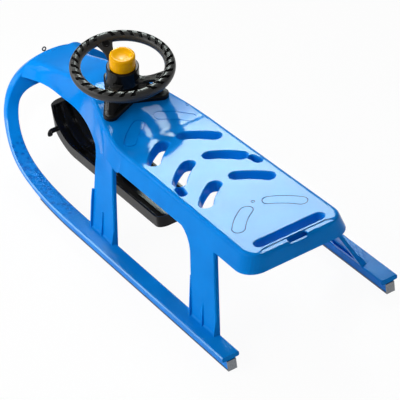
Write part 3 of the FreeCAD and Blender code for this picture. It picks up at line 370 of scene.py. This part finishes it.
# %% Grip
GRIP_START = 0.085
GRIP_END = 0.385
GRIP_FADE = 0.03
GRIP_CELL = 0.0105
GRIP_SMOOTH = 0.6
GRIP_DEPTH = 0.0008
GRIP_SHADE = (0.001, 0.13, 0.52)
GRIP_GLOSS = 0.42
HOLLOW_FULL = 0.15
HOLLOW_NONE = 0.55
ARM_FROM = 0.118
ARM_FULL = 0.124
ARM_FACING = (0.0, -0.45, 0.89)
ARM_FACING_FROM = 0.75
ARM_FACING_FULL = 0.85

cells = tree.nodes.new("ShaderNodeTexVoronoi")
cells.feature = "SMOOTH_F1"
feed(tree, cells.inputs["Scale"], 1.0 / GRIP_CELL)
feed(tree, cells.inputs["Smoothness"], GRIP_SMOOTH)
feed(tree, cells.inputs["Vector"], where)
from_middle = cells.outputs["Distance"]

lean_up = tree.nodes.new("ShaderNodeVectorMath")
lean_up.operation = "DOT_PRODUCT"
feed(tree, lean_up.inputs[0], facing)
feed(tree, lean_up.inputs[1], ARM_FACING)

on_stretch = within(tree, along, GRIP_START, GRIP_END, GRIP_FADE)
on_arm = spread(tree, off_centre, 0.0, 1.0, ARM_FROM, ARM_FULL)
on_face = spread(tree, lean_up.outputs["Value"], 0.0, 1.0, ARM_FACING_FROM, ARM_FACING_FULL)
grip = times(tree, times(tree, on_stretch, on_arm), on_face)
hammered = relief(tree, times(tree, from_middle, grip), GRIP_DEPTH, skin)
feed(tree, shader.inputs["Normal"], hammered)
hollow = times(tree, spread(tree, from_middle, 1.0, 0.0, HOLLOW_FULL, HOLLOW_NONE), grip)
print("with the grip:", len(tree.nodes), "nodes")

# %% [markdown]
# ### Scuffs, engraved lines and polished edges
# Runners rub on snow and gravel, so the low parts are duller than the seat. Behind the slots the solid has engraved
# outlines one millimetre deep. Their floors and walls are painted a dark blue as shade, and they are dull and lose
# their shine. The outer edge of each runner is rounded and rubbed smooth, and it draws a bright line along the sled.
# All three shapes are in the solid already, so only their finish is added, and a painted map is not needed.

# %% Scuffs and engraved lines
SCUFF_LOW = 0.05
SCUFF_HIGH = 0.18
SCUFF_GLOSS = 0.26
LINE_LOW = 0.1987
LINE_FLOOR_TOP = 0.1994
LINE_WALL_TOP = 0.2003
LINE_SOFT = 0.0002
LINE_SHADE = (0.0005, 0.05, 0.25)
LINE_GLOSS = 0.5
SEAT_FRONT = -0.03
SEAT_FADE = 0.01

duller(spread(tree, height, 1.0, 0.0, SCUFF_LOW, SCUFF_HIGH), SCUFF_GLOSS)
duller(grip, GRIP_GLOSS)
tinted(hollow, GRIP_SHADE)

flat = spread(tree, faces_up, 0.0, 1.0, 0.95, 0.98)
steep = spread(tree, faces_up, 1.0, 0.0, 0.4, 0.5)
line_floor = times(tree, within(tree, height, LINE_LOW, LINE_FLOOR_TOP, LINE_SOFT), flat)
line_wall = times(tree, within(tree, height, LINE_LOW, LINE_WALL_TOP, LINE_SOFT), steep)
on_seat = spread(tree, along, 1.0, 0.0, SEAT_FRONT - SEAT_FADE, SEAT_FRONT)
engraved_shade = times(tree, maths(tree, "ADD", line_floor, line_wall), on_seat)
duller(engraved_shade, LINE_GLOSS)
# Painted shade: the floors and walls of the engraved lines are tinted dark blue.
tinted(engraved_shade, LINE_SHADE)
print("with scuffs and lines:", len(tree.nodes), "nodes")

# %% Polished edges
EDGE_FROM = 0.186
EDGE_FADE = 0.003
EDGE_TURN = (0.35, 0.95)
EDGE_TURN_FADE = 0.15
EDGE_GLOSS = 0.14
EDGE_SHINE = 0.9
BOW_START = 0.15
BOW_FULL = 0.25
BOW_INSET = 0.04

outward = times(tree, faces_across, maths(tree, "SIGN", across))
reach = maths(tree, "ADD", off_centre, spread(tree, along, 0.0, BOW_INSET, BOW_START, BOW_FULL))
outside = spread(tree, reach, 0.0, 1.0, EDGE_FROM, EDGE_FROM + EDGE_FADE)
edge = times(tree, within(tree, outward, *EDGE_TURN, EDGE_TURN_FADE), outside)
duller(edge, EDGE_GLOSS)
edge_shine = spread(tree, edge, 0.0, EDGE_SHINE, 0.0, 1.0)
rest_shine = spread(tree, engraved_shade, BLUE_SHINE, 0.0, 0.0, 1.0)
feed(tree, shader.inputs["Specular IOR Level"], maths(tree, "ADD", edge_shine, rest_shine))
print("blue finish:", len(tree.nodes), "nodes")

# %% [markdown]
# ### Black, yellow, rubber and steel
# The wheel's hub, the base and the ski are black with a duller gloss than the moulding. The rim is a satin black
# that feels dry in the hand, painted a lighter grey as its sheen, and its notches are matt and painted darker as
# shade. The cap is warm yellow. Rails and fasteners are steel, drawn along their length, and the bushes and bellows
# stay matt. They share two recipes and differ only in numbers.

# %% The other finishes
black, *_ = moulded("black_gloss", dark=(0.006, 0.006, 0.0063), pale=(0.010, 0.010, 0.0104),
                    gloss=(0.16, 0.24), shine=0.15, peel=0.0001)
# The rim's lighter grey is painted sheen, and the notches' darker black is painted shade.
rim_painted_sheen, *_ = moulded("rim_black_painted_sheen", dark=(0.026, 0.026, 0.025), pale=(0.042, 0.041, 0.039),
                        gloss=(0.34, 0.46), shine=0.35, peel=0.0001)
notch_painted_shade, *_ = moulded("notch_black_painted_shade", dark=(0.003, 0.003, 0.003), pale=(0.006, 0.006, 0.006),
                         gloss=(0.6, 0.75), shine=0.1)
yellow, *_ = moulded("cap_yellow_gloss", dark=(0.98, 0.42, 0.001), pale=(1.0, 0.49, 0.002),
                     gloss=(0.16, 0.24), shine=0.07)
nylon, *_ = moulded("bush_nylon", dark=(0.012, 0.012, 0.013), pale=(0.03, 0.03, 0.032),
                    gloss=(0.5, 0.65), shine=0.4, peel=0.0002)
rubber, *_ = moulded("bellows_rubber_matt", dark=(0.01, 0.01, 0.01), pale=(0.02, 0.02, 0.02),
                     gloss=(0.7, 0.85), shine=0.3)
rail_steel = steel("rail_steel_drawn", dark=(0.12, 0.13, 0.145), pale=(0.25, 0.265, 0.285),
                   gloss=(0.28, 0.48), along=(1.0, 0.02, 1.0))
zinc = steel("zinc_plated", dark=(0.42, 0.43, 0.42), pale=(0.60, 0.60, 0.56),
             gloss=(0.25, 0.4), along=(1.0, 1.0, 0.2))
wire = steel("eye_wire", dark=(0.04, 0.04, 0.043), pale=(0.09, 0.09, 0.095),
             gloss=(0.3, 0.45), along=(1.0, 0.2, 1.0))
print("materials:", len(bpy.data.materials))

# %% A finish for each solid
FINISH_OF_SLOT = {
    "sled_blue": blue,
    "black_plastic": black,
    "cap_yellow": yellow,
    "bush_plastic": nylon,
    "bellows_rubber": rubber,
    "rail_steel": rail_steel,
    "zinc_steel": zinc,
    "wire_steel": wire,
}
slot_of = {row["node"]: row["material_slot"] for row in frame["record"]["subparts"]}
for name, solid in nodes.items():
    solid.data.materials.clear()
    solid.data.materials.append(FINISH_OF_SLOT[slot_of[name]])
print("finishes on", len(nodes), "solids")

# %% [markdown]
# ## The steering wheel
# The real wheel is one black moulding: a round rim with slanted finger notches, three dished spokes and a hub with
# a well for the horn cap. The solid has those main shapes. The notches could be a relief in the finish, but they
# break the rim's outline against the white floor, so they are pressed into a mesh. All of it is made upright on the
# column's own axis first, and tilted to its place once, at the end.

# %% The column's axis
turning = next(row for row in frame["record"]["behaviour"]["joints"] if row["name"] == "steering_turn")
tilt = math.atan2(-turning["axis"][1], turning["axis"][2])
column = Matrix.Translation(turning["pos_m"]) @ Matrix.Rotation(tilt, 4, "X")
UPRIGHT = (0.0, 0.0, 1.0)
FRONT_SPOKE = math.radians(84.0)
print("column leans back", round(math.degrees(tilt), 1), "degrees")

# %% [markdown]
# ### The rim and its notches
# A circle spun round the column gives the rim as a regular grid of faces, so a notch is simply two columns of faces
# on top of the tube, inset and pushed in. The left half of the rim mirrors the right half about the front spoke.
# Each face keeps a material number: satin for the rim, with a lighter grey painted as its sheen, and matt for the
# notches, painted darker as shade. The notches slant: a turn of each point, in step with its distance from the middle
# of the tube, leans them all.

# %% Rim
RIM_RADIUS = 0.0935
RIM_TUBE = 0.0112
RIM_HEIGHT = 0.068
TUBE_POINTS = 24
HALF_STEPS = 73
NOTCH_PITCH = 5
NOTCH_STEPS = 2
NOTCH_CLIMB = (45.0, 135.0)
NOTCH_LIP = 0.0004
NOTCH_DEPTH = 0.003
FIRST_NOTCH = 3
FACES_PER_NOTCH = 12
SATIN_SHEEN, MATT_SHADE = 1, 2

wheel = bmesh.new()
bmesh.ops.create_circle(wheel, segments=TUBE_POINTS, radius=RIM_TUBE)
stand = Matrix.Translation((RIM_RADIUS, 0.0, RIM_HEIGHT)) @ Matrix.Rotation(math.radians(90.0), 4, "X")
bmesh.ops.transform(wheel, matrix=stand, verts=wheel.verts)
bmesh.ops.spin(wheel, geom=wheel.verts[:] + wheel.edges[:], cent=(0.0, 0.0, 0.0), axis=UPRIGHT,
               angle=math.tau, steps=2 * HALF_STEPS, use_merge=True)
bmesh.ops.recalc_face_normals(wheel, faces=wheel.faces)


def rim_place(point):
    around = math.atan2(point.y, point.x) / math.tau * 2 * HALF_STEPS
    off_middle = math.hypot(point.x, point.y) - RIM_RADIUS
    climb = math.degrees(math.atan2(point.z - RIM_HEIGHT, off_middle))
    return around, off_middle, climb


def in_notch(face):
    around, _, climb = rim_place(face.calc_center_median())
    step = int(abs(around)) - FIRST_NOTCH
    on_grip = 0 <= step < HALF_STEPS - 2 * FIRST_NOTCH
    return on_grip and step % NOTCH_PITCH < NOTCH_STEPS and NOTCH_CLIMB[0] < climb < NOTCH_CLIMB[1]


notches = [face for face in wheel.faces if in_notch(face)]
# Rim faces get the painted sheen finish, and the notch faces get the painted shade finish.
for face in wheel.faces:
    face.material_index = SATIN_SHEEN
walls = bmesh.ops.inset_region(wheel, faces=notches, thickness=NOTCH_LIP, depth=-NOTCH_DEPTH,
                               use_boundary=True, use_even_offset=True)["faces"]
for face in notches + walls:
    face.material_index = MATT_SHADE
print("rim:", len(wheel.faces), "faces,", len(notches) // FACES_PER_NOTCH, "notches")

# %% The notches lean
LEAN_PER_METRE = math.radians(4.3) / 0.0079
SOFT_STEPS = 3.5

for vert in wheel.verts:
    around, off_middle, _ = rim_place(vert.co)
    to_line = min(abs(around), HALF_STEPS - abs(around))
    share = math.copysign(min(1.0, to_line / SOFT_STEPS), around)
    vert.co.rotate(Matrix.Rotation(-LEAN_PER_METRE * off_middle * share, 3, "Z"))
bmesh.ops.rotate(wheel, matrix=Matrix.Rotation(FRONT_SPOKE, 3, "Z"), verts=wheel.verts)
print("rim box:", round(max(v.co.x for v in wheel.verts), 4))

# %% [markdown]
# ### The spokes
# Each spoke rises from the hub to the rim, narrow at its waist and flared where it meets the rim. One square is
# extruded station by station, and each new end is carried to its station by a matrix. The top faces are inset and
# sunk, which leaves the raised edges of the real spoke, and they take the rim's satin finish with its painted
# sheen, a lighter grey than the edges.

# %% Spokes
SPOKE_FOOT = 0.0265
SPOKE_LOW = 0.0424
SPOKE_THICK = 0.009
SPOKE_RIDGE = 0.0024
SPOKE_SINK = 0.0016
SPOKE_TOP_FACING = 0.6
SPOKE_WIDTHS = ((0.0, 0.022), (0.15, 0.019), (0.3, 0.017), (0.42, 0.0175), (0.55, 0.019),
                (0.67, 0.0235), (0.78, 0.030), (0.88, 0.0375), (0.97, 0.044))


def spoke_place(share):
    rise = share * share * (3.0 - 2.0 * share)
    return (SPOKE_FOOT + (RIM_RADIUS - SPOKE_FOOT) * share,
            SPOKE_LOW + (RIM_HEIGHT - SPOKE_LOW) * rise)


def station(share, width):
    out, height = spoke_place(share)
    return Matrix(((0.0, 0.0, 1.0, out), (width, 0.0, 0.0, 0.0),
                   (0.0, SPOKE_THICK, 0.0, height), (0.0, 0.0, 0.0, 1.0)))


def spoke(mesh, turn):
    first = bmesh.ops.create_grid(mesh, x_segments=1, y_segments=1, size=0.5)["verts"]
    grown = list(first)
    here = station(*SPOKE_WIDTHS[0])
    bmesh.ops.transform(mesh, matrix=here, verts=first)
    end = first[0].link_faces[0]
    for share, width in SPOKE_WIDTHS[1:]:
        made = bmesh.ops.extrude_face_region(mesh, geom=[end])["geom"]
        end = next(item for item in made if isinstance(item, bmesh.types.BMFace))
        there = station(share, width)
        bmesh.ops.transform(mesh, matrix=there @ here.inverted(), verts=end.verts)
        grown += end.verts[:]
        here = there
    skin_faces = list({face for vert in grown for face in vert.link_faces})
    bmesh.ops.recalc_face_normals(mesh, faces=skin_faces)
    top = [face for face in skin_faces if face.normal.z > SPOKE_TOP_FACING]
    sunk = bmesh.ops.inset_region(mesh, faces=top, thickness=SPOKE_RIDGE, depth=-SPOKE_SINK,
                                  use_boundary=True)["faces"]
    # The sunk spoke tops get the rim's painted sheen, a lighter grey.
    for face in top:
        face.material_index = SATIN_SHEEN
    body = {vert for face in skin_faces + top + sunk for vert in face.verts}
    bmesh.ops.rotate(mesh, matrix=Matrix.Rotation(turn, 3, "Z"), verts=list(body))
    return len(skin_faces)


SPOKE_SPREAD = math.radians(138.0)
spoke_turns = [FRONT_SPOKE + way * SPOKE_SPREAD for way in (0, 1, -1)]
print("spoke skins:", [spoke(wheel, turn) for turn in spoke_turns])

# %% [markdown]
# ### The screw rings and the hub
# A small ring marks the screw place on the flare of each spoke, its floor painted darker as shade with the
# notches' finish, and the hub is a thick cup. Both are round, so their outlines are spun like clay on a wheel. A ring
# is made upright at the origin, then leaned by the slope of its spoke and carried out to it, and its points on the
# axis are merged.

# %% Rings on the spokes


def faces_of(verts):
    return list({face for vert in verts for face in vert.link_faces})


def turned(mesh, outline, steps):
    rows = [mesh.verts.new((radius, 0.0, height)) for radius, height in outline]
    sides = [mesh.edges.new(pair) for pair in zip(rows, rows[1:] + rows[:1])]
    before = set(mesh.verts) - set(rows)
    bmesh.ops.spin(mesh, geom=rows + sides, cent=(0.0, 0.0, 0.0), axis=UPRIGHT,
                   angle=math.tau, steps=steps, use_merge=True)
    grown = [vert for vert in mesh.verts if vert not in before]
    bmesh.ops.recalc_face_normals(mesh, faces=faces_of(grown))
    return grown


RING_OUTLINE = ((0.0, 0.001), (0.0082, 0.001), (0.0076, 0.004),
                (0.0059, 0.004), (0.0053, 0.003), (0.0, 0.003))
RING_STEPS = 32
RING_SHARE = 0.78
SLOPE_STEP = 0.01
SCREW_RADIUS = 0.006
SCREW_LOW = 0.002
MERGE = 0.00001

ring_out, ring_height = spoke_place(RING_SHARE)
next_out, next_height = spoke_place(RING_SHARE + SLOPE_STEP)
slope = math.atan2(next_height - ring_height, next_out - ring_out)
for turn in spoke_turns:
    ring = turned(wheel, RING_OUTLINE, RING_STEPS)
    # The recessed ring floors get the notches' painted shade.
    for face in faces_of(ring):
        if all(vert.co.xy.length < SCREW_RADIUS and vert.co.z > SCREW_LOW for vert in face.verts):
            face.material_index = MATT_SHADE
    on_spoke = Matrix.Rotation(turn, 4, "Z") @ Matrix.Translation((ring_out, 0.0, ring_height))
    bmesh.ops.transform(wheel, matrix=on_spoke @ Matrix.Rotation(-slope, 4, "Y"), verts=ring)
    bmesh.ops.remove_doubles(wheel, verts=ring, dist=MERGE)
    bmesh.ops.recalc_face_normals(wheel, faces=faces_of([vert for vert in ring if vert.is_valid]))
print("rings lean", round(math.degrees(slope), 1), "degrees")

# %% Hub
HUB_OUTLINE = ((0.008, 0.0304), (0.0285, 0.0304), (0.0345, 0.0354), (0.0325, 0.0424), (0.0325, 0.0675),
               (0.031, 0.069), (0.02615, 0.069), (0.02615, 0.052), (0.003, 0.052), (0.003, 0.045), (0.008, 0.045))
HUB_STEPS = 72

turned(wheel, HUB_OUTLINE, HUB_STEPS)
print("wheel:", len(wheel.faces), "faces")

# %% [markdown]
# ### The wheel on its column
# The finished mesh is tilted once, so the object itself stays at the origin, unturned. Sharp edges are kept by angle,
# and a small live bevel softens them as a mould does. The wheel then rides on the steering body in place of its solid.

# %% The wheel in place
SHARP_ANGLE = math.radians(35.0)
SOFT_EDGE = 0.0005


def on_column(name, mesh, body, finish):
    bmesh.ops.transform(mesh, matrix=column, verts=mesh.verts)
    data = bpy.data.meshes.new(name)
    mesh.to_mesh(data)
    mesh.free()
    data.shade_smooth()
    data.set_sharp_from_angle(angle=SHARP_ANGLE)
    data.materials.append(finish)
    piece = bpy.data.objects.new(name, data)
    scene.collection.objects.link(piece)
    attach(piece, body)
    return piece


wheel_piece = on_column("wheel_moulding", wheel, "steering", black)
wheel_piece.data.materials.append(rim_painted_sheen)
wheel_piece.data.materials.append(notch_painted_shade)
soft = wheel_piece.modifiers.new("soft_edges", "BEVEL")
soft.width = SOFT_EDGE
soft.segments = 2
soft.limit_method = "ANGLE"
soft.angle_limit = SHARP_ANGLE
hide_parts("steering_wheel")
print("wheel rides on the steering body")

# %% [markdown]
# ## The horn cap
# The yellow cap is a cup upside down: a straight wall, a round shoulder and a shallow dish on top that catches the
# light. A bevelled cylinder would give the shoulder but not the dish, so its whole outline is turned once round the
# column, like the hub's, and its points at the axis are merged.

# %% Cap
CAP_OUTLINE = ((0.02275, 0.059), (0.02575, 0.059), (0.02575, 0.0928), (0.0254, 0.0946), (0.0244, 0.0960),
               (0.0229, 0.0968), (0.0212, 0.0970), (0.0186, 0.0967), (0.0155, 0.0957), (0.0120, 0.0947),
               (0.0070, 0.0941), (0.0, 0.0940), (0.0, 0.0910), (0.0215, 0.0910), (0.02275, 0.0897))
CAP_STEPS = 80

cap = bmesh.new()
turned(cap, CAP_OUTLINE, CAP_STEPS)
bmesh.ops.remove_doubles(cap, verts=cap.verts, dist=MERGE)
bmesh.ops.recalc_face_normals(cap, faces=cap.faces)
cap_piece = on_column("cap_moulding", cap, "horn", yellow)
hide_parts("horn_button")
print("cap:", len(cap_piece.data.polygons), "faces")

# %% [markdown]
# ## The last update
# Last, the view layer is updated once more. The dressed sled must not outgrow its solids.

# %% Last update
bpy.context.view_layer.update()
